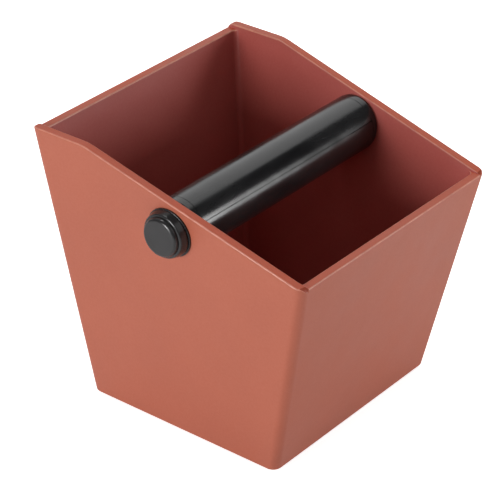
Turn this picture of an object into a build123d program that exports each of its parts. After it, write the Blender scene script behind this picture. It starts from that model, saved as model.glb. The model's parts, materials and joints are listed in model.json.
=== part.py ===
from build123d import *
import os
from math import atan, cos, degrees, radians, sin

# Espresso knock box: a tapered bin with a rubber-sleeved knock bar across it.
# Millimetres. X runs along the knock bar, -Y is the low front, +Z is up. The origin is on the
# surface that the feet stand on, under the middle of the whole object.

# ---- driving dimensions ---------------------------------------------------------------------
FOOT_PROUD = 2.0  # how far the feet stand below the body

# Body. Every wall leans outwards: the flares are millimetres outwards per millimetre of height.
BASE_WIDTH = 120.4
BASE_FRONT = 54.7
BASE_BACK = 57.7
SIDE_FLARE = 0.098
FRONT_FLARE = 0.2083
BACK_FLARE = 0.140
SIDE_HEIGHT_BACK = 143.2  # side walls' level top, above the body's underside
SIDE_HEIGHT_FRONT = 110.3  # side walls' top where it meets the front face
BACK_WALL_HEIGHT = 141.0
FRONT_WALL_HEIGHT = 110.3
BEND_Y = 45.2  # where the level top bends into the slope
BEND_RADIUS = 22.0
EAR_RADIUS = 3.0  # round corners of the side walls' outline
WALL = 4.7
FLOOR = 5.0
OUTER_CORNER = 5.0
INNER_CORNER = 2.5
FLOOR_FILLET = 2.2
BASE_FILLET = 0.8
UNDERSIDE_BORDER = 26.0
UNDERSIDE_RECESS = 0.8

# Knock bar
BAR_Y = -3.5
BAR_Z = 116.6
TUBE_RADIUS = 8.0
TUBE_WALL = 1.5
TUBE_CHAMFER = 0.4
TUBE_END_GAP = 0.1  # between the tube's end and the cap's shoulder
SLEEVE_RADIUS = 14.0
SLEEVE_HALF_LENGTH = 63.2
SLEEVE_END_ROUND = 0.12
SLEEVE_CLEARANCE = 0.05
PARTING_LINE_WIDTH = 0.5
PARTING_LINE_DEPTH = 0.6
PARTING_LINE_TILT = 24.5  # degrees above level, at rest

# Grommets in the side walls
HOLE_RADIUS = 9.5
GROMMET_NECK_CLEARANCE = 0.05
GROMMET_BORE_CLEARANCE = 0.1
SLEEVE_GAP = 0.1  # between the sleeve's end and the grommet's collar
COLLAR_WALL_ROUND = 1.2  # on the collar's edge at the wall
LIP_RADIUS = 12.2
LIP_THICKNESS = 1.0
LIP_ROUND = 0.35
SEAT_RADIUS = 11.5  # level face round the bore that the end cap turns against

# End caps
CAP_GAP = 0.15
CAP_BACK_RADIUS = 11.6
CAP_SHOULDER_RADIUS = 10.7
CAP_SHOULDER_DEPTH = 3.3
CAP_SHOULDER_ROUND = 0.9
CAP_FACE_RADIUS = 9.6
CAP_FACE_DEPTH = 1.9
CAP_FACE_ROUND = 1.7
CAP_GROOVE_DEPTH = 0.35
CAP_GROOVE_WIDTH = 0.4
STEM_LENGTH = 15.0
STEM_CORE_RADIUS = 5.2
STEM_RIB_COUNT = 3
STEM_RIB_WIDTH = 1.4
STEM_RIB_CHAMFER = 0.3
STEM_CLEARANCE = 0.05
STEM_TIP_CHAMFER = 0.8

# Feet
FOOT_RADIUS = 8.0
FOOT_HEIGHT = 3.6
FOOT_INSET = 14.5
FOOT_ROUND = 0.8
FOOT_DIMPLE_RADIUS = 3.0
FOOT_DIMPLE_DEPTH = 0.6
FOOT_POCKET_CLEARANCE = 0.2

# ---- dimensions that follow -------------------------------------------------------------------
SIDE_TILT = degrees(atan(SIDE_FLARE))
FAR = 200.0  # larger than the object, for cutting solids
OVER = 10.0  # how far a cutting solid runs past what it cuts
BAR_HEIGHT_ON_BODY = BAR_Z - FOOT_PROUD
FRONT_RIM_Y = -(BASE_FRONT + FRONT_FLARE * SIDE_HEIGHT_FRONT)
BACK_RIM_Y = BASE_BACK + BACK_FLARE * SIDE_HEIGHT_BACK
LIP_STEP = LIP_THICKNESS / cos(radians(SIDE_TILT))
TUBE_BORE_RADIUS = TUBE_RADIUS - TUBE_WALL
COLLAR_START_X = SLEEVE_HALF_LENGTH + SLEEVE_GAP
LEFT = -1
RIGHT = 1


def side_x(height):
    """Half the body's outer width at a height above its underside."""
    return BASE_WIDTH / 2 + SIDE_FLARE * height


# The caps turn with the bar, so they clear the grommet's lip where the leaning wall is furthest out.
CAP_BACK_X = side_x(BAR_HEIGHT_ON_BODY + CAP_BACK_RADIUS) + LIP_STEP + CAP_GAP
TUBE_END_X = CAP_BACK_X - TUBE_END_GAP


# ---- body -------------------------------------------------------------------------------------
def tub_section(height, inset, corner):
    """Level section of the tub: the outer outline moved inwards by inset."""
    front = -(BASE_FRONT + FRONT_FLARE * height) + inset
    back = BASE_BACK + BACK_FLARE * height - inset
    width = 2 * (side_x(height) - inset)
    centre = Pos(0, (front + back) / 2, height)
    return centre * RectangleRounded(width, back - front, corner)


def tub_solid(low, high, inset, corner):
    return loft([tub_section(low, inset, corner), tub_section(high, inset, corner)], ruled=True)


def side_outline():
    """Side view of the tub, extruded across its whole width, with rounded ears and a soft bend."""
    corners = [
        (-BASE_FRONT, 0),
        (FRONT_RIM_Y, SIDE_HEIGHT_FRONT),
        (BEND_Y, SIDE_HEIGHT_BACK),
        (BACK_RIM_Y, SIDE_HEIGHT_BACK),
        (BASE_BACK, 0),
    ]
    face = make_face(Plane.YZ * Polyline(*corners, close=True))
    outline = extrude(face, FAR, both=True)
    across = outline.edges().filter_by(Axis.X)
    bend = across.sort_by_distance((0, BEND_Y, SIDE_HEIGHT_BACK))[:1]
    outline = fillet(bend, BEND_RADIUS)
    across = outline.edges().filter_by(Axis.X)
    ears = [
        across.sort_by_distance((0, FRONT_RIM_Y, SIDE_HEIGHT_FRONT))[0],
        across.sort_by_distance((0, BACK_RIM_Y, SIDE_HEIGHT_BACK))[0],
    ]
    return fillet(ears, EAR_RADIUS)


def between_sides():
    """The space between the two side walls' inner faces, right through the end walls."""
    sections = []
    for height in (-OVER, SIDE_HEIGHT_BACK + OVER):
        width = 2 * (side_x(height) - WALL)
        sections.append(Pos(0, 0, height) * Rectangle(width, 2 * FAR))
    return loft(sections, ruled=True)


def below_end_walls():
    """The space under the level tops of the front wall and the back wall."""
    front = Box(FAR, FAR, FRONT_WALL_HEIGHT, align=(Align.CENTER, Align.MAX, Align.MIN))
    back = Box(FAR, FAR, BACK_WALL_HEIGHT, align=(Align.CENTER, Align.MIN, Align.MIN))
    return front + back


def underside():
    """The shallow panel and the four foot pockets in the floor's underside."""
    panel_width = BASE_WIDTH - 2 * UNDERSIDE_BORDER
    panel_depth = BASE_FRONT + BASE_BACK - 2 * UNDERSIDE_BORDER
    panel_y = (BASE_BACK - BASE_FRONT) / 2
    panel = Pos(0, panel_y, 0) * extrude(
        RectangleRounded(panel_width, panel_depth, OUTER_CORNER), UNDERSIDE_RECESS
    )
    pocket = Cylinder(
        FOOT_RADIUS + FOOT_POCKET_CLEARANCE,
        FOOT_HEIGHT - FOOT_PROUD,
        align=(Align.CENTER, Align.CENTER, Align.MIN),
    )
    return panel + [Pos(x, y, 0) * pocket for x, y in foot_places().values()]


def box_body():
    outer = tub_solid(0, SIDE_HEIGHT_BACK + OVER, 0, OUTER_CORNER)
    outer = fillet(outer.edges().group_by(Axis.Z)[0], BASE_FILLET)
    cavity = tub_solid(FLOOR, SIDE_HEIGHT_BACK + OVER, WALL, INNER_CORNER)
    cavity = fillet(cavity.edges().group_by(Axis.Z)[0], FLOOR_FILLET)
    between = between_sides()
    side_walls = (outer & side_outline()) - between
    end_walls = outer & between & below_end_walls()
    body = side_walls + end_walls - cavity
    hole = Pos(0, BAR_Y, BAR_HEIGHT_ON_BODY) * Rot(0, 90, 0) * Cylinder(HOLE_RADIUS, 2 * FAR)
    body -= hole
    body -= underside()
    return Pos(0, 0, FOOT_PROUD) * body


# ---- knock bar --------------------------------------------------------------------------------
def along_bar(profile):
    """Turn a half profile, drawn as (distance along X, radius), into a solid round the bar's axis."""
    return Pos(0, BAR_Y, BAR_Z) * revolve(make_face(Plane.XY * profile), Axis.X)


def bar_cylinder(radius, start, end):
    length = end - start
    return Pos((start + end) / 2, BAR_Y, BAR_Z) * Rot(0, 90, 0) * Cylinder(radius, length)


def core_tube():
    tube = bar_cylinder(TUBE_RADIUS, -TUBE_END_X, TUBE_END_X)
    tube = chamfer(tube.edges(), TUBE_CHAMFER)
    return tube - bar_cylinder(TUBE_BORE_RADIUS, -FAR, FAR)


def bar_sleeve():
    sleeve = bar_cylinder(SLEEVE_RADIUS, -SLEEVE_HALF_LENGTH, SLEEVE_HALF_LENGTH)
    sleeve = fillet(sleeve.edges(), SLEEVE_END_ROUND)
    sleeve -= bar_cylinder(TUBE_RADIUS + SLEEVE_CLEARANCE, -FAR, FAR)
    groove = Box(FAR, 2 * PARTING_LINE_DEPTH, PARTING_LINE_WIDTH)
    for angle in (PARTING_LINE_TILT, PARTING_LINE_TILT + 180):
        place = Pos(0, BAR_Y, BAR_Z) * Rot(-angle, 0, 0) * Pos(0, -SLEEVE_RADIUS, 0)
        sleeve -= place * groove
    return sleeve


def beyond_wall(shift):
    """All space further out than the right side wall's outer face, moved out by shift along X."""
    tilt = radians(SIDE_TILT)
    face = Plane(
        origin=(BASE_WIDTH / 2 + shift, 0, FOOT_PROUD),
        x_dir=(0, 1, 0),
        z_dir=(cos(tilt), 0, -sin(tilt)),
    )
    return face * Box(2 * FAR, 2 * FAR, FAR, align=(Align.CENTER, Align.CENTER, Align.MIN))


def grommet_collar():
    """Wedge between the sleeve's level end and the leaning wall, flush with the sleeve."""
    collar = bar_cylinder(SLEEVE_RADIUS, COLLAR_START_X, FAR) - beyond_wall(-WALL)
    ends = collar.edges().sort_by(Axis.X)
    collar = fillet(ends[0], SLEEVE_END_ROUND)
    return fillet(collar.edges().sort_by(Axis.X)[-1], COLLAR_WALL_ROUND)


def grommet(side):
    collar = grommet_collar() - beyond_wall(-WALL)
    neck = bar_cylinder(HOLE_RADIUS - GROMMET_NECK_CLEARANCE, COLLAR_START_X, FAR)
    neck -= beyond_wall(LIP_STEP)
    lip = bar_cylinder(LIP_RADIUS, COLLAR_START_X, FAR) & beyond_wall(0)
    lip -= beyond_wall(LIP_STEP)
    lip = fillet(lip.edges().sort_by(Axis.X)[-1], LIP_ROUND)
    seat = bar_cylinder(SEAT_RADIUS, COLLAR_START_X, CAP_BACK_X - CAP_GAP) & beyond_wall(0)
    solid = collar + neck + lip + seat
    solid -= bar_cylinder(TUBE_RADIUS + GROMMET_BORE_CLEARANCE, -FAR, FAR)
    return solid if side == RIGHT else mirror(solid, about=Plane.YZ)


def cap_head():
    """Tapered drum with a rounded shoulder, a fine groove and a button with a soft edge."""
    shoulder_x = CAP_BACK_X + CAP_SHOULDER_DEPTH
    drum = along_bar(
        Polyline(
            (CAP_BACK_X, 0),
            (CAP_BACK_X, CAP_BACK_RADIUS),
            (shoulder_x, CAP_SHOULDER_RADIUS),
            (shoulder_x, 0),
            close=True,
        )
    )
    drum = fillet(drum.edges().sort_by(Axis.X)[-1], CAP_SHOULDER_ROUND)
    groove_end = shoulder_x + CAP_GROOVE_WIDTH
    neck = bar_cylinder(CAP_FACE_RADIUS - CAP_GROOVE_DEPTH, CAP_BACK_X, groove_end)
    button = bar_cylinder(CAP_FACE_RADIUS, groove_end, groove_end + CAP_FACE_DEPTH)
    button = fillet(button.edges().sort_by(Axis.X)[-1], CAP_FACE_ROUND)
    return drum + neck + button


def cap_stem():
    """Stem in the tube's bore: a core with ribs round it that bear on the bore."""
    tip_x = CAP_BACK_X - STEM_LENGTH
    stem = bar_cylinder(STEM_CORE_RADIUS, tip_x, CAP_BACK_X)
    stem = chamfer(stem.edges().sort_by(Axis.X)[0], STEM_TIP_CHAMFER)
    pitch = STEM_LENGTH / (STEM_RIB_COUNT + 1)
    for index in range(STEM_RIB_COUNT):
        start = tip_x + pitch * (index + 1) - STEM_RIB_WIDTH / 2
        ring = bar_cylinder(TUBE_BORE_RADIUS - STEM_CLEARANCE, start, start + STEM_RIB_WIDTH)
        stem += chamfer(ring.edges(), STEM_RIB_CHAMFER)
    return stem


def end_cap(side):
    solid = cap_head() + cap_stem()
    return solid if side == RIGHT else mirror(solid, about=Plane.YZ)


# ---- feet -------------------------------------------------------------------------------------
def foot_places():
    across = BASE_WIDTH / 2 - FOOT_INSET
    front = -BASE_FRONT + FOOT_INSET
    back = BASE_BACK - FOOT_INSET
    return {
        "foot_front_left": (-across, front),
        "foot_front_right": (across, front),
        "foot_back_left": (-across, back),
        "foot_back_right": (across, back),
    }


def foot():
    bottom = (Align.CENTER, Align.CENTER, Align.MIN)
    pad = Cylinder(FOOT_RADIUS, FOOT_HEIGHT, align=bottom)
    pad = fillet(pad.edges().sort_by(Axis.Z)[0], FOOT_ROUND)
    return pad - Cylinder(FOOT_DIMPLE_RADIUS, FOOT_DIMPLE_DEPTH, align=bottom)


# ---- all parts --------------------------------------------------------------------------------
parts = {
    "box_body": box_body(),
    "left_grommet": grommet(LEFT),
    "right_grommet": grommet(RIGHT),
    "core_tube": core_tube(),
    "bar_sleeve": bar_sleeve(),
    "left_end_cap": end_cap(LEFT),
    "right_end_cap": end_cap(RIGHT),
}
for foot_name, (foot_x, foot_y) in foot_places().items():
    parts[foot_name] = Pos(foot_x, foot_y, 0) * foot()

os.makedirs("parts", exist_ok=True)
for name, solid in parts.items():
    solid.label = name
    export_step(solid, f"parts/{name}.step")
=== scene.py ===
import json
from collections import namedtuple
from math import cos, pi, radians, sin, sqrt

import bmesh
import bpy
from mathutils import Matrix, Vector


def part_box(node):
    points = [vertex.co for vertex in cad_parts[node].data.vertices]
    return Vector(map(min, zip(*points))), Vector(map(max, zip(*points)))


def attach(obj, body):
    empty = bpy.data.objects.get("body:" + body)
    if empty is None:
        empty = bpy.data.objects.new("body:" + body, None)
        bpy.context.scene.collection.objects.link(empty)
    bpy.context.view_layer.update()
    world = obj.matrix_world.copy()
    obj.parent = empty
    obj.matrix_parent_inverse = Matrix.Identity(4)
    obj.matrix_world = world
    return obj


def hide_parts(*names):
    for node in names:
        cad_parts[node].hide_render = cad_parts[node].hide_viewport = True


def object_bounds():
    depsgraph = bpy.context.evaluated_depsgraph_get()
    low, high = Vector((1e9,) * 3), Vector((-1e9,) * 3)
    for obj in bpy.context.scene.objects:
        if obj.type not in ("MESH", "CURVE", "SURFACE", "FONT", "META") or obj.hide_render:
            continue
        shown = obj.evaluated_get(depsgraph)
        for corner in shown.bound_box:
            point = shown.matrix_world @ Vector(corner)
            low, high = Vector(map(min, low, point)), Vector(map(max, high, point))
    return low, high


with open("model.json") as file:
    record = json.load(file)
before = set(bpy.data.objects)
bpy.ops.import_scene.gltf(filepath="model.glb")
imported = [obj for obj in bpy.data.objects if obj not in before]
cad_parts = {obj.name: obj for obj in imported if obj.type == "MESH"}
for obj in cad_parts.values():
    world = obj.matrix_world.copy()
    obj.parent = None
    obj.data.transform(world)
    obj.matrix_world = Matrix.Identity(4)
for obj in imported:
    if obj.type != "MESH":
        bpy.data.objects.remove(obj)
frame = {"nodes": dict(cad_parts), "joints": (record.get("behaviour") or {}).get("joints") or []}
cad_low, cad_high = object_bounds()

# Espresso knock box. Metres, in the CAD frame: X along the knock bar, -Y the low front, +Z up.
# The moulded body is built here, with the soft edges that the CAD solid leaves sharp. The bar, its
# grommets, caps, tube and feet keep their CAD shapes and get their materials here.

# ---- sizes of the body ------------------------------------------------------------------------
body_low, body_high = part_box("box_body")
UNDERSIDE = body_low.z
TOP = body_high.z - UNDERSIDE  # heights below are measured from the underside
SIDE_FLARE = 0.098  # outwards per height, as are the next two
FRONT_FLARE = 0.2083
BACK_FLARE = 0.140
FRONT_TOP = 0.1103
BACK_TOP = 0.1410
HALF_BASE_WIDTH = body_high.x - SIDE_FLARE * TOP
FRONT_BASE = -body_low.y - FRONT_FLARE * FRONT_TOP
BACK_BASE = body_high.y - BACK_FLARE * BACK_TOP
WALL = 0.0047
OUTER_CORNER = WALL  # the vertical corners are as round as the walls are thick
INNER_CORNER = 0.0025
FLOOR = 0.005
FLOOR_FILLET = 0.0022
BASE_FILLET = 0.0008
RIM_FILLET = 0.00075
FRONT_EAR = 0.0029
BACK_EAR = 0.0034
BEND_Y = 0.0452
BEND_HALF = 0.0029  # half the length of the bend between the level top and the slope
LEDGE_DEPTH = WALL + INNER_CORNER  # the end walls' level tops reach this far along the side walls
LEDGE_FILLET_SHARE = 0.45  # of the height of the step beside it
SMALLEST_STEP = 0.00012  # lower steps beside a ledge are left out
BAR_HOLE_RADIUS = 0.0095
PANEL_BORDER = 0.026
PANEL_RECESS = 0.0008
FOOT_POCKET_CLEARANCE = 0.0002
CUT_LENGTH = 0.1  # the tool that cuts the bar's holes reaches this far to each side
FEET = [name for name in frame["nodes"] if name.startswith("foot_")]
spin = next(joint for joint in frame["joints"] if joint["name"] == "bar_spin")
_, bar_y, bar_z = spin["pos_m"]

# How finely round stretches are divided.
FILLET_STEPS = 4
CORNER_STEPS = 12
INNER_CORNER_STEPS = 6
END_WALL_STEPS = 6
HOLE_STEPS = 96
WELD = 1e-6  # points closer than this are one point
SHARPEST_SMOOTH_ANGLE = radians(35)

# Shares of a wall's height where its mesh has rows. They are closest near the edges.
WALL_ROWS = (0.02, 0.2, 0.4, 0.6, 0.8, 0.98, 1.0)

# Which faces belong to the rim and its ears.
EDGE_REACH = 0.0035  # how far below the front rim the soft edges reach
EDGE_NORMALS = (0.25, 0.93)  # how far up the soft edges' faces look
EAR_NORMALS = (0.25, 0.4)  # the ears' rolled ends look less than this to a side, more to an end

# ---- colours ----------------------------------------------------------------------------------
# The body is one plastic. Its inside, rim and ears carry painted light, for light the studio lacks.
OUTSIDE_TERRACOTTA = ((0.43, 0.107, 0.058), (0.46, 0.117, 0.064))
# Painted reflection: the inside is tinted towards mauve, standing in for the veil of light its walls
# reflect.
INSIDE_TERRACOTTA_PAINTED_REFLECTION = ((0.44, 0.082, 0.067), (0.47, 0.088, 0.073))
# Painted light: the rim tops are painted lighter, as if more lit from above.
RIM_TERRACOTTA_PAINTED_LIGHT = ((0.62, 0.118, 0.056), (0.68, 0.130, 0.064))
# Painted shade: the ears' rolled ends, which face down and out, are painted darker.
EAR_TERRACOTTA_PAINTED_SHADE = ((0.36, 0.055, 0.024), (0.42, 0.065, 0.028))
# Pale terracotta, for random mottle on the body; it and the next colour make the soft edges' painted
# highlight.
TERRACOTTA_LIGHT = (0.58, 0.20, 0.14)
EDGE_PAINTED_HIGHLIGHT = (0.74, 0.30, 0.21)
RUBBER_BLACK = (0.010, 0.010, 0.011)
RUBBER_GREY = (0.020, 0.020, 0.021)
CAP_BLACK = (0.027, 0.026, 0.027)
CAP_GREY = (0.033, 0.032, 0.033)
DUSTY_GREY = (0.06, 0.058, 0.055)
STEEL_DARK = (0.50, 0.50, 0.50)
STEEL_LIGHT = (0.66, 0.66, 0.65)
FLOOR_SHADE = (0.90, 0.90, 0.90)
FLOOR_WHITE = (0.94, 0.94, 0.94)

# ---- studio -----------------------------------------------------------------------------------
FLOOR_RADIUS = 6.0
FLOOR_THICKNESS = 0.02
FLOOR_GLOW = 0.15  # the floor's own light, on the object
FLOOR_LIFT = 0.8  # the same, as the camera sees it
AMBIENT = 0.01
SOFTBOX_DISTANCE = 1.3
BIG_SOFTBOX = (0.9, 0.9)
SMALL_SOFTBOX = (0.25, 0.25)
KEY_SOFTBOX = (0.4, 0.35)
SENSOR_WIDTH = 36.0
LENS = 169.6
CAMERA_AZIMUTH = -51.41
CAMERA_ELEVATION = 30.12
CAMERA_DISTANCE = 1.1214
LOOK_AT = Vector((-0.00325, 0.00535, 0.0732))

UP = Vector((0, 0, 1))
DOWN = Vector((0, 0, -1))


class End(namedtuple("End", "sign base flare wall_top side_top slope ear")):
    """The front or the back of the body. wall_top is the end wall's height, and side_top is the
    side walls' where they would meet the end's outer face, were their ears not round."""

    def outer_y(self, height):
        return self.sign * (self.base + self.flare * height)

    def y_in_from_face(self, height, depth):
        """Y of the point that lies depth behind the end's outer face."""
        return self.outer_y(height) - self.sign * depth


front_y_of_rim = -(FRONT_BASE + FRONT_FLARE * FRONT_TOP)
RIM_SLOPE = (TOP - FRONT_TOP) / (BEND_Y - front_y_of_rim)
FRONT = End(
    -1,
    FRONT_BASE,
    FRONT_FLARE,
    FRONT_TOP,
    FRONT_TOP,
    RIM_SLOPE / (1 + RIM_SLOPE * FRONT_FLARE),
    FRONT_EAR,
)
BACK = End(1, BACK_BASE, BACK_FLARE, BACK_TOP, TOP, 0.0, BACK_EAR)


def outer_x(height):
    return HALF_BASE_WIDTH + SIDE_FLARE * height


def inner_x(height):
    return outer_x(height) - WALL


def mix(start, end, share):
    return start + (end - start) * share


def rounded_edge(edge, normal_a, normal_b, radius):
    """Points round a fillet between two faces that meet at edge, from the face with normal_a to
    the face with normal_b. A hollow fillet has a radius below zero."""
    centre = edge - radius * (normal_a + normal_b) / (1 + normal_a.dot(normal_b))
    points = []
    for step in range(FILLET_STEPS + 1):
        direction = mix(normal_a, normal_b, step / FILLET_STEPS).normalized()
        points.append(centre + radius * direction)
    return points


# ---- body: the right half, point by point -----------------------------------------------------
# Every function here gives points with height above the underside as their Z.
SIDE_NORMAL = Vector((1, 0, -SIDE_FLARE)).normalized()


def corner_angles():
    """Angles round a vertical corner, from the end wall (a quarter turn) to the side wall (0)."""
    return [pi / 2 * (1 - step / CORNER_STEPS) for step in range(CORNER_STEPS + 1)]


def corner_depth(angle):
    """How far behind the end's outer face the corner's outline is at an angle."""
    return OUTER_CORNER * (1 - sin(angle))


def corner_point(end, angle, height):
    x = inner_x(height) + OUTER_CORNER * cos(angle)
    return Vector((x, end.y_in_from_face(height, corner_depth(angle)), height))


def corner_normal(end, angle):
    lean = SIDE_FLARE * cos(angle) + end.flare * sin(angle)
    return Vector((cos(angle), end.sign * sin(angle), -lean)).normalized()


def side_rim_at_end(end, depth):
    """Height and normal of a side wall's top, depth behind the end's outer face. Its last few
    millimetres roll down into the end face as an ear."""
    share = max(1 - depth / end.ear, 0)
    rise = sqrt(1 - share * share)
    height = end.side_top + end.slope * depth - end.ear * (1 - rise)
    d_depth, d_height = rise, end.slope * rise + share
    d_y = end.sign * (end.flare * d_height - d_depth)
    normal = Vector((0, end.sign * d_height, -end.sign * d_y)).normalized()
    return height, normal


def side_rim(y):
    """Height and normal of a side wall's top at y, away from its ears: level, bent and sloping."""
    ahead = BEND_Y + BEND_HALF - y
    if ahead <= 0:
        height, slope = TOP, 0.0
    elif ahead < 2 * BEND_HALF:
        height = TOP - RIM_SLOPE * ahead * ahead / (4 * BEND_HALF)
        slope = RIM_SLOPE * ahead / (2 * BEND_HALF)
    else:
        height, slope = TOP - RIM_SLOPE * (BEND_Y - y), RIM_SLOPE
    return height, Vector((0, -slope, 1)).normalized()


def end_wall_rim(end, depth):
    """Height of an end wall's top, depth behind its outer face, with the outer edge rounded."""
    inwards = min(depth, RIM_FILLET) - RIM_FILLET
    return end.wall_top - RIM_FILLET + sqrt(RIM_FILLET**2 - inwards**2)


def outer_column(base, wall_normal, top):
    """Points up an outer wall, from the underside round the base's fillet to top."""
    column = rounded_edge(base, DOWN, wall_normal, BASE_FILLET)
    foot = column[-1]
    return column + [mix(foot, top, share) for share in WALL_ROWS]


def inner_column(top, floor_edge, wall_normal):
    """Points down an inner wall from top to the floor, with the fillet at its foot."""
    fillet = rounded_edge(floor_edge, wall_normal, UP, -FLOOR_FILLET)
    return [mix(top, fillet[0], share) for share in WALL_ROWS] + fillet[1:]


def side_wall_section(edge_out, edge_in, base, wall_normal, rim_normal, inner_fillet):
    """One section of a side wall, from the underside up, over the rim and to its inner edge."""
    outer_fillet = rounded_edge(edge_out, wall_normal, rim_normal, RIM_FILLET)
    inner_normal = Vector((-1, 0, SIDE_FLARE)).normalized()
    section = outer_column(base, wall_normal, outer_fillet[0]) + outer_fillet[1:]
    return section + rounded_edge(edge_in, rim_normal, inner_normal, inner_fillet)


class RightHalf:
    """The faces of the body's right half. Each is added with its mirror image on the left."""

    def __init__(self):
        self.mesh = bmesh.new()
        self.underside = []
        self.floor = []

    def face(self, points):
        """Adds both faces. The fillets beside the rolled ears are kept from rising above TOP."""
        for side in (1, -1):
            corners = [(side * p.x, p.y, min(p.z, TOP) + UNDERSIDE) for p in points]
            self.mesh.faces.new([self.mesh.verts.new(corner) for corner in corners])

    def grid(self, sections):
        for one, two in zip(sections, sections[1:]):
            for index in range(min(len(one), len(two)) - 1):
                self.face([one[index], one[index + 1], two[index + 1], two[index]])

    def finished(self):
        """The welded, closed mesh."""
        everything = self.mesh.verts[:]
        bmesh.ops.remove_doubles(self.mesh, verts=everything, dist=WELD)
        wires = [edge for edge in self.mesh.edges if not edge.link_faces]
        bmesh.ops.delete(self.mesh, geom=wires, context="EDGES")
        bmesh.ops.recalc_face_normals(self.mesh, faces=self.mesh.faces[:])
        return self.mesh


def end_wall_section(end, x_share, inset):
    """One section of an end wall, from the underside over the rim's flat. It stands where x is
    x_share of the way to the inner corner, which is inset in from the side wall's inner face."""
    def x_at(height):
        return x_share * (inner_x(height) - inset)

    wall_normal = corner_normal(end, pi / 2)
    base = Vector((x_at(0), end.outer_y(0), 0))
    ear_foot = end.side_top - end.ear
    section = outer_column(base, wall_normal, Vector((x_at(ear_foot), end.outer_y(ear_foot), ear_foot)))
    for angle in corner_angles():
        depth = corner_depth(angle)
        if depth <= WALL - RIM_FILLET:
            height = end_wall_rim(end, depth)
            section.append(Vector((x_at(height), end.y_in_from_face(height, depth), height)))
    return section


def inner_corner_section(end, x_share, angle):
    """One section of the cavity's wall at an end, from the rim down to the floor. angle is 0 along
    the end wall and grows to a quarter turn round the inner corner."""
    def point(height):
        x = x_share * (inner_x(height) - INNER_CORNER) + INNER_CORNER * sin(angle)
        depth = WALL + INNER_CORNER * (1 - cos(angle))
        return Vector((x, end.y_in_from_face(height, depth), height))

    lean = SIDE_FLARE * sin(angle) + end.flare * cos(angle)
    normal = Vector((-sin(angle), -end.sign * cos(angle), lean)).normalized()
    edge = point(end.wall_top)
    fillet = rounded_edge(edge, UP, normal, min(RIM_FILLET, inner_x(edge.z) - edge.x))
    return fillet + inner_column(fillet[-1], point(FLOOR), normal)


def add_end(half, end):
    """Adds an end wall, the ends of the side walls beside it, and the small step between them.
    Returns the last section of the side wall, where its middle stretch starts."""
    inner_corner = [
        inner_corner_section(end, 1, pi / 2 * step / INNER_CORNER_STEPS)
        for step in range(INNER_CORNER_STEPS + 1)
    ]
    wall = [
        end_wall_section(end, step / END_WALL_STEPS, INNER_CORNER)
        + inner_corner_section(end, step / END_WALL_STEPS, 0)
        for step in range(END_WALL_STEPS + 1)
    ]
    wall_end = end_wall_section(end, 1, 0)
    half.grid(wall)
    half.grid([wall[-1][: len(wall_end)], wall_end])
    half.grid(inner_corner)

    side, step_face = [], []
    depths = [corner_depth(angle) for angle in corner_angles()]
    depths += [mix(OUTER_CORNER, LEDGE_DEPTH, share) for share in (0.5, 1)]
    for angle, depth in zip(corner_angles() + [0, 0], depths):
        height, rim_normal = side_rim_at_end(end, depth)
        ledge = end_wall_rim(end, depth)
        step_height = height - ledge
        edge_in = Vector((inner_x(height), end.y_in_from_face(height, depth), height))
        on_ledge = Vector((inner_x(ledge), end.y_in_from_face(ledge, depth), ledge))
        if abs(step_height) < SMALLEST_STEP:
            edge_in, step_height = on_ledge, 0
        edge_out = corner_point(end, angle, height)
        base = corner_point(end, angle, 0)
        if depth > OUTER_CORNER:
            edge_out.y = edge_in.y
            base = side_base(edge_out.y)
        fillet = min(RIM_FILLET, LEDGE_FILLET_SHARE * max(step_height, 0))
        wall_normal = corner_normal(end, angle)
        side.append(side_wall_section(edge_out, edge_in, base, wall_normal, rim_normal, fillet))
        step_face.append([side[-1][-1], on_ledge])
    half.grid(side)
    half.grid(step_face)

    flat_rows = len([depth for depth in depths if depth <= WALL - RIM_FILLET])
    ledge = [pair[1] for pair in step_face[flat_rows - 1 :]]
    ledge += [section[0] for section in reversed(inner_corner[:-1])]
    half.face(ledge + [wall[-1][len(wall_end) - 1]])

    half.underside.append([section[0] for section in wall + side])
    half.floor.append([section[-1] for section in wall + inner_corner])
    return side[-1]


def rim_y_at(end, depth):
    height, _ = side_rim_at_end(end, depth)
    return end.y_in_from_face(height, depth)


def share_between_ends(y, depth):
    """How far y is from the front to the back, between the rim's points depth behind each end."""
    front, back = rim_y_at(FRONT, depth), rim_y_at(BACK, depth)
    return (y - front) / (back - front)


def side_base(rim_y):
    """Foot of the side wall's outer face under the rim's point at rim_y."""
    share = share_between_ends(rim_y, OUTER_CORNER)
    front, back = (end.y_in_from_face(0, OUTER_CORNER) for end in (FRONT, BACK))
    return Vector((outer_x(0), mix(front, back, share), 0))


def side_middle_section(y):
    """A whole section of a side wall, between its ends, from the underside to the floor."""
    height, rim_normal = side_rim(y)
    edge_out = Vector((outer_x(height), y, height))
    edge_in = Vector((inner_x(height), y, height))
    section = side_wall_section(edge_out, edge_in, side_base(y), SIDE_NORMAL, rim_normal, RIM_FILLET)
    share = share_between_ends(y, LEDGE_DEPTH)
    front, back = (end.y_in_from_face(FLOOR, LEDGE_DEPTH) for end in (FRONT, BACK))
    floor_edge = Vector((inner_x(FLOOR), mix(front, back, share), FLOOR))
    steps = [side_rim_at_end(end, LEDGE_DEPTH)[0] - end.wall_top for end in (FRONT, BACK)]
    drop = mix(steps[0], steps[1], share)
    below_rim = mix(edge_in, floor_edge, drop / (height - FLOOR))
    inner_normal = Vector((-1, 0, SIDE_FLARE)).normalized()
    return section + [below_rim] + inner_column(below_rim, floor_edge, inner_normal)


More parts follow.
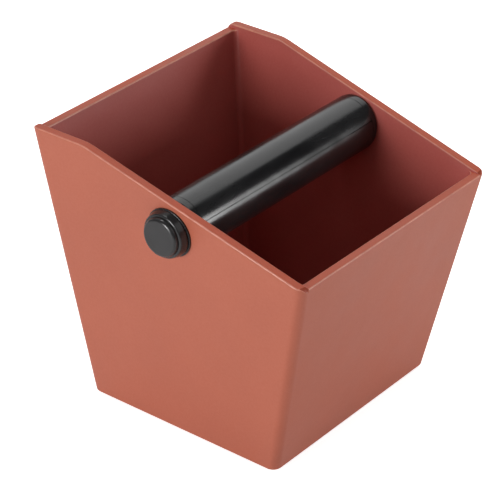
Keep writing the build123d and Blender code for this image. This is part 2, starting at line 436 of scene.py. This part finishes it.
def side_middle_places():
    """Where the side walls' middle sections stand: few along the straights, more round the bend."""
    bend_front, bend_back = BEND_Y - BEND_HALF, BEND_Y + BEND_HALF
    places = []
    for start, end, steps in (
        (rim_y_at(FRONT, LEDGE_DEPTH), bend_front, 8),
        (bend_front, bend_back, 6),
        (bend_back, rim_y_at(BACK, LEDGE_DEPTH), 2),
    ):
        places += [mix(start, end, step / steps) for step in range(steps)]
    return places + [rim_y_at(BACK, LEDGE_DEPTH)]


def body_shell():
    """The body as one closed mesh, before anything is cut out of it."""
    half = RightHalf()
    add_end(half, FRONT)
    add_end(half, BACK)
    middle = [side_middle_section(y) for y in side_middle_places()]
    half.grid(middle)
    half.face(half.underside[0] + [s[0] for s in middle[1:-1]] + half.underside[1][::-1])
    half.face(half.floor[0] + [s[-1] for s in middle[1:-1]] + half.floor[1][::-1])
    return half.finished()


# ---- body: what is cut out of it --------------------------------------------------------------
def circle(centre, radius):
    angles = [2 * pi * step / HOLE_STEPS for step in range(HOLE_STEPS)]
    return [(centre[0] + radius * cos(angle), centre[1] + radius * sin(angle)) for angle in angles]


def rounded_rectangle(low, high, radius):
    corners = (
        (high[0] - radius, high[1] - radius),
        (low[0] + radius, high[1] - radius),
        (low[0] + radius, low[1] + radius),
        (high[0] - radius, low[1] + radius),
    )
    outline = []
    for quarter, (x, y) in enumerate(corners):
        for step in range(CORNER_STEPS + 1):
            angle = pi / 2 * (quarter + step / CORNER_STEPS)
            outline.append((x + radius * cos(angle), y + radius * sin(angle)))
    return outline


def add_prism(mesh, outline, low, high, turn=None):
    """Adds a closed prism over an outline in XY, from low to high in Z, then turned."""
    turn = turn or Matrix.Identity(3)
    rings = [[mesh.verts.new(turn @ Vector((x, y, z))) for x, y in outline] for z in (low, high)]
    mesh.faces.new(reversed(rings[0]))
    mesh.faces.new(rings[1])
    for index in range(len(outline)):
        after = (index + 1) % len(outline)
        mesh.faces.new((rings[0][index], rings[0][after], rings[1][after], rings[1][index]))


def new_object(name, mesh):
    data = bpy.data.meshes.new(name)
    mesh.to_mesh(data)
    mesh.free()
    made = bpy.data.objects.new(name, data)
    bpy.context.scene.collection.objects.link(made)
    return made


def cutter():
    """The bar's holes in the side walls, the underside's shallow panel and the feet's pockets."""
    mesh = bmesh.new()
    along_x = Matrix(((0, 0, 1), (1, 0, 0), (0, 1, 0)))
    add_prism(mesh, circle((bar_y, bar_z), BAR_HOLE_RADIUS), -CUT_LENGTH, CUT_LENGTH, along_x)
    panel_low = (-HALF_BASE_WIDTH + PANEL_BORDER, -FRONT_BASE + PANEL_BORDER)
    panel_high = (HALF_BASE_WIDTH - PANEL_BORDER, BACK_BASE - PANEL_BORDER)
    panel = rounded_rectangle(panel_low, panel_high, OUTER_CORNER)
    add_prism(mesh, panel, 0, UNDERSIDE + PANEL_RECESS)
    for name in FEET:
        low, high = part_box(name)
        centre = (low + high) / 2
        pocket = circle(centre, (high.x - low.x) / 2 + FOOT_POCKET_CLEARANCE)
        add_prism(mesh, pocket, low.z, high.z)
    return new_object("cutter", mesh)


def moulded_body():
    body = new_object("moulded_body", body_shell())
    tool = cutter()
    cut = body.modifiers.new("openings", "BOOLEAN")
    cut.operation = "DIFFERENCE"
    cut.solver = "EXACT"
    cut.object = tool
    cut_body = body.evaluated_get(bpy.context.evaluated_depsgraph_get())
    body.data = bpy.data.meshes.new_from_object(cut_body)
    body.modifiers.clear()
    bpy.data.objects.remove(tool)
    body.data.polygons.foreach_set("use_smooth", [True] * len(body.data.polygons))
    body.data.set_sharp_from_angle(angle=SHARPEST_SMOOTH_ANGLE)
    body.modifiers.new("flat faces stay flat", "WEIGHTED_NORMAL").keep_sharp = True
    return body


def finish_of(face):
    """Name of the finish that a face of the body has."""
    height = face.center.z - UNDERSIDE
    normal = face.normal
    # Rim tops get painted light, soft edges a painted highlight and ear ends painted shade; the inside
    # gets painted reflection.
    if height > FRONT_TOP - EDGE_REACH and normal.z > EDGE_NORMALS[0]:
        looks_to_end = abs(normal.x) < EAR_NORMALS[0] and abs(normal.y) > EAR_NORMALS[1]
        if looks_to_end and abs(face.center.x) > inner_x(height):
            return "ear_end"
        return "rim_top" if normal.z > EDGE_NORMALS[1] else "painted_edge_highlight"
    looks_outwards = face.center.x * normal.x + face.center.y * normal.y > 0
    return "outside" if looks_outwards or height < FLOOR - WELD else "inside"


# ---- materials --------------------------------------------------------------------------------
class Finish:
    """A Principled material, with a few short ways to add procedural detail to it. Scales are in
    features per metre."""

    def __init__(self, name, roughness, **sockets):
        self.material = bpy.data.materials.new(name)
        self.material.use_nodes = True
        self.nodes = self.material.node_tree.nodes
        self.links = self.material.node_tree.links
        self.shader = self.nodes["Principled BSDF"]
        self.shader.inputs["Roughness"].default_value = roughness
        for socket, value in sockets.items():
            self.shader.inputs[socket.replace("_", " ")].default_value = value
        self.place = self.nodes.new("ShaderNodeTexCoord").outputs["Object"]

    def stretched(self, scale):
        """The object's coordinates, scaled by a vector."""
        mapping = self.nodes.new("ShaderNodeMapping")
        mapping.inputs["Scale"].default_value = scale
        self.links.new(self.place, mapping.inputs["Vector"])
        return mapping.outputs["Vector"]

    def noise(self, scale, detail=2.0, place=None):
        texture = self.nodes.new("ShaderNodeTexNoise")
        texture.inputs["Scale"].default_value = scale
        texture.inputs["Detail"].default_value = detail
        self.links.new(place or self.place, texture.inputs["Vector"])
        return texture.outputs["Fac"]

    def ranged(self, value, low, high, start=0.3, end=0.7):
        """value, mapped from start-end to low-high."""
        node = self.nodes.new("ShaderNodeMapRange")
        node.inputs["From Min"].default_value = start
        node.inputs["From Max"].default_value = end
        node.inputs["To Min"].default_value = low
        node.inputs["To Max"].default_value = high
        self.links.new(value, node.inputs["Value"])
        return node.outputs["Result"]

    def mixed(self, share, colour_a, colour_b):
        """A blend of two colours. Each is a colour, or the output of another blend."""
        node = self.nodes.new("ShaderNodeMix")
        node.data_type = "RGBA"
        self.links.new(share, node.inputs["Factor"])
        for socket, colour in ((node.inputs[6], colour_a), (node.inputs[7], colour_b)):
            if isinstance(colour, tuple):
                socket.default_value = (*colour, 1)
            else:
                self.links.new(colour, socket)
        return node.outputs[2]

    def colour(self, output):
        self.links.new(output, self.shader.inputs["Base Color"])

    def roughness(self, output):
        self.links.new(output, self.shader.inputs["Roughness"])

    def bump(self, *layers):
        """Bumps from (height, depth in metres) pairs, one on top of the other."""
        normal = None
        for height, depth in layers:
            node = self.nodes.new("ShaderNodeBump")
            node.inputs["Distance"].default_value = depth
            self.links.new(height, node.inputs["Height"])
            if normal:
                self.links.new(normal, node.inputs["Normal"])
            normal = node.outputs["Normal"]
        self.links.new(normal, self.shader.inputs["Normal"])


def moulded_plastic(name, colours, **sockets):
    """Satin moulded plastic: a fine eggshell texture, cloudy sheen and faint colour variation."""
    finish = Finish(name, 0.42, IOR=1.5, **sockets)
    clouds = finish.noise(22, 3)
    mottle = finish.noise(900, 2)
    base = finish.mixed(finish.ranged(clouds, 0, 1), *colours)
    finish.colour(finish.mixed(finish.ranged(mottle, 0, 0.12), base, TERRACOTTA_LIGHT))
    finish.roughness(finish.ranged(clouds, 0.38, 0.5))
    eggshell = finish.noise(1800, 2)
    waviness = finish.noise(60, 1)
    finish.bump((waviness, 0.0003), (eggshell, 0.00002))
    return finish.material


def painted_edge_highlight():
    """The body's plastic along its soft rim, smoother, and painted paler as a painted highlight."""
    finish = Finish("painted_edge_highlight", 0.3, IOR=1.5)
    highlight_variation = finish.noise(240, 3)
    finish.colour(finish.mixed(finish.ranged(highlight_variation, 0, 1), TERRACOTTA_LIGHT, EDGE_PAINTED_HIGHLIGHT))
    finish.roughness(finish.ranged(highlight_variation, 0.34, 0.26))
    finish.bump((finish.noise(1800, 2), 0.00001))
    return finish.material


def bar_rubber():
    """Smooth black rubber: soft waves in its highlights, fine grain and a few dull smears."""
    finish = Finish("black_rubber", 0.2, IOR=1.5)
    smears = finish.noise(1, 3, finish.stretched((30, 90, 90)))
    grain = finish.noise(2400, 2)
    finish.colour(finish.mixed(finish.ranged(smears, 0, 1), RUBBER_BLACK, RUBBER_GREY))
    finish.roughness(finish.ranged(smears, 0.17, 0.27))
    finish.bump((finish.noise(70, 1), 0.00015), (grain, 0.000005))
    return finish.material


def cap_plastic():
    """Hard black plastic with a fine spark-eroded grain."""
    finish = Finish("cap_plastic", 0.2, IOR=1.5)
    patches = finish.noise(90, 2)
    grain = finish.noise(3000, 2)
    finish.colour(finish.mixed(finish.ranged(patches, 0, 1), CAP_BLACK, CAP_GREY))
    finish.roughness(finish.ranged(patches, 0.14, 0.2))
    finish.bump((grain, 0.000015))
    return finish.material


def foot_rubber():
    """Matte rubber, a little dusty."""
    finish = Finish("foot_rubber", 0.7, IOR=1.5)
    dust = finish.noise(300, 4)
    finish.colour(finish.mixed(finish.ranged(dust, 0, 1, 0.45, 0.75), RUBBER_BLACK, DUSTY_GREY))
    finish.bump((finish.noise(2000, 2), 0.00003))
    return finish.material


def tube_steel():
    """Stainless tube, brushed along its length."""
    finish = Finish("brushed_steel", 0.3, Metallic=1.0)
    brushed = finish.noise(1, 3, finish.stretched((40, 2500, 2500)))
    tint = finish.noise(60, 2)
    finish.colour(finish.mixed(finish.ranged(tint, 0, 1), STEEL_DARK, STEEL_LIGHT))
    finish.roughness(finish.ranged(brushed, 0.22, 0.4))
    finish.bump((brushed, 0.00001))
    return finish.material


def pale_floor():
    """White table, lit from below as well. The camera sees that light more than the object does,
    so the background is white and the walls' colour isn't washed out."""
    finish = Finish("pale_floor", 0.6, Emission_Color=(1, 1, 1, 1))
    finish.colour(finish.mixed(finish.ranged(finish.noise(3, 2), 0, 1), FLOOR_SHADE, FLOOR_WHITE))
    seen = finish.nodes.new("ShaderNodeLightPath").outputs["Is Camera Ray"]
    lift = finish.ranged(seen, FLOOR_GLOW, FLOOR_LIFT, 0, 1)
    finish.links.new(lift, finish.shader.inputs["Emission Strength"])
    return finish.material


# ---- stage, light and camera ------------------------------------------------------------------
def direction(azimuth, elevation):
    """Unit vector from the object. Azimuth 0 is in front (-Y) and 90 is on the right (+X)."""
    a, e = radians(azimuth), radians(elevation)
    return Vector((sin(a) * cos(e), -cos(a) * cos(e), sin(e)))


def aim(thing, place, target):
    thing.location = place
    thing.rotation_mode = "QUATERNION"
    thing.rotation_quaternion = (target - place).to_track_quat("-Z", "Y")
    bpy.context.scene.collection.objects.link(thing)


def softbox(name, target, azimuth, elevation, distance, size, power):
    """A rectangular light that faces target, from a direction given as for direction()."""
    light = bpy.data.lights.new(name, "AREA")
    light.shape = "RECTANGLE"
    light.size, light.size_y = size
    light.energy = power
    place = target + distance * direction(azimuth, elevation)
    aim(bpy.data.objects.new(name, light), place, target)


def add_floor():
    mesh = bmesh.new()
    add_prism(mesh, circle((0, 0), FLOOR_RADIUS), -FLOOR_THICKNESS, 0)
    floor = new_object("floor", mesh)
    floor.data.materials.append(pale_floor())


def add_world():
    """Dim surroundings that are white where the camera sees them, beyond the floor."""
    world = bpy.data.worlds.new("studio")
    world.use_nodes = True
    nodes, links = world.node_tree.nodes, world.node_tree.links
    background = nodes["Background"]
    background.inputs["Color"].default_value = (1, 1, 1, 1)
    strength = nodes.new("ShaderNodeMapRange")
    strength.inputs["To Min"].default_value = AMBIENT
    strength.inputs["To Max"].default_value = 1
    links.new(nodes.new("ShaderNodeLightPath").outputs["Is Camera Ray"], strength.inputs["Value"])
    links.new(strength.outputs["Result"], background.inputs["Strength"])
    bpy.context.scene.world = world


def add_camera():
    camera = bpy.data.cameras.new("camera")
    camera.sensor_width = SENSOR_WIDTH
    camera.lens = LENS
    camera.clip_start = 0.05
    holder = bpy.data.objects.new("camera", camera)
    place = LOOK_AT + CAMERA_DISTANCE * direction(CAMERA_AZIMUTH, CAMERA_ELEVATION)
    aim(holder, place, LOOK_AT)
    bpy.context.scene.camera = holder


# ---- the scene --------------------------------------------------------------------------------
body = moulded_body()
# The inside, rim tops and ear ends are tinted as painted reflection, painted light and painted shade;
# the soft edges carry a painted highlight.
body_finishes = {
    "outside": moulded_plastic("terracotta_plastic", OUTSIDE_TERRACOTTA),
    "inside": moulded_plastic("inside_plastic_painted_reflection", INSIDE_TERRACOTTA_PAINTED_REFLECTION, Sheen_Weight=0.1),
    "rim_top": moulded_plastic("rim_plastic_painted_light", RIM_TERRACOTTA_PAINTED_LIGHT, Specular_IOR_Level=0.25),
    "ear_end": moulded_plastic("ear_plastic_painted_shade", EAR_TERRACOTTA_PAINTED_SHADE, Specular_IOR_Level=0.15),
    "painted_edge_highlight": painted_edge_highlight(),
}
for material in body_finishes.values():
    body.data.materials.append(material)
for face in body.data.polygons:
    face.material_index = list(body_finishes).index(finish_of(face))
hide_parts("box_body")
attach(body, "box")

finishes = {
    "bar_sleeve": bar_rubber(),
    "left_grommet": bar_rubber(),
    "right_grommet": bar_rubber(),
    "left_end_cap": cap_plastic(),
    "right_end_cap": cap_plastic(),
    "core_tube": tube_steel(),
}
finishes |= {name: foot_rubber() for name in FEET}
for name, material in finishes.items():
    for slot in frame["nodes"][name].material_slots:
        slot.material = material

middle = (cad_low + cad_high) / 2
add_floor()
add_world()
softbox("left", middle, -98, 13, SOFTBOX_DISTANCE, KEY_SOFTBOX, 10.1)
softbox("high_left", middle, -70, 35, SOFTBOX_DISTANCE, BIG_SOFTBOX, 1.2)
softbox("front", middle, 15, 40, SOFTBOX_DISTANCE, BIG_SOFTBOX, 1.6)
softbox("back", middle, 170, 6, SOFTBOX_DISTANCE, BIG_SOFTBOX, 3.0)
softbox("high_back", middle, 180, 55, SOFTBOX_DISTANCE, BIG_SOFTBOX, 1.2)
softbox("rim_light", middle, 175, 70, SOFTBOX_DISTANCE, SMALL_SOFTBOX, 1.8)
# The bar mirrors these two to the camera, as a broad band on its back and a streak on its front.
# They stand far to the right, where a bar along X sends the camera's view.
softbox("band", Vector((1.05, bar_y, bar_z)), 180, 60, 1.0, (0.9, 1.75), 7.6)
softbox("streak", Vector((0.70, bar_y, bar_z)), 0, 9, 1.0, (0.36, 0.50), 7.2)
add_camera()
bpy.context.scene.view_settings.view_transform = "Standard"
